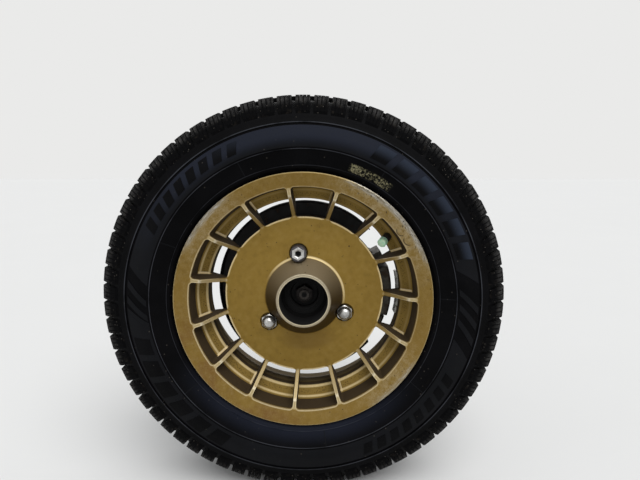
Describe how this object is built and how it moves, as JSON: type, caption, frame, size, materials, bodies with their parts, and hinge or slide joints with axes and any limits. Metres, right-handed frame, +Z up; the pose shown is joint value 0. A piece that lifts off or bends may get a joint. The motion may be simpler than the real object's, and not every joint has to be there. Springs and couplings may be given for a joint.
{
  "type": "front wheel with hub, disc brake and steering knuckle of a rally car",
  "caption": "Cast road wheel with recessed spoke windows and a hollow centre boss, with its tyre, hub, disc brake and steering knuckle, turning on its bearing.",
  "frame": {"origin": "centre of the lower ball joint's bore in the steering knuckle", "axes": "+Y along the wheel's axis towards the car, +X to the car's rear, +Z up; this is a left wheel"},
  "size_m": [0.5749, 0.1907, 0.575],
  "materials": {
    "knuckle_iron": "rough cast",
    "black_sheet": "black paint",
    "caliper_iron": "cast and plated",
    "pad_lining": "friction lining on a painted plate",
    "tyre": "moulded rubber",
    "gold_paint": "satin, worn to bare metal on the lip",
    "black_rubber": "matt",
    "pale_plastic": "matt",
    "zinc_weight": "dull",
    "bright_plate": "bright plated",
    "dark_plate": "dull plated",
    "plain_steel": "oily",
    "forged_steel": "forged, dull",
    "disc_iron": "swept bright, edges rusty"
  },
  "bodies": {
    "knuckle": {"knuckle": "knuckle_iron", "pinch_bolts": "plain_steel", "wheel_bearing": "plain_steel", "splash_shield": "black_sheet", "shield_bolts": "plain_steel", "caliper": "caliper_iron", "caliper_piston": "plain_steel", "inner_pad": "pad_lining", "outer_pad": "pad_lining", "caliper_carrier": "knuckle_iron", "carrier_bolts": "plain_steel", "guide_pins": "plain_steel", "pin_boots": "black_rubber", "bleed_screw": "plain_steel"},
    "wheel": {"tyre": "tyre", "cast_wheel": "gold_paint", "valve_stem": "black_rubber", "valve_cap": "pale_plastic", "balance_weights": "zinc_weight", "domed_nuts": "bright_plate", "locking_nut": "dark_plate", "wheel_studs": "plain_steel", "hub": "forged_steel", "brake_disc": "disc_iron", "axle_washer": "plain_steel", "axle_nut": "plain_steel", "drive_joint": "forged_steel", "joint_race": "plain_steel", "joint_balls": "plain_steel"}
  },
  "joints": [
    {"name": "wheel_spin", "type": "hinge", "parent": "knuckle", "child": "wheel", "pos_m": [0, -0.066, 0.088], "axis": [0, 1, 0], "continuous": true}
  ]
}
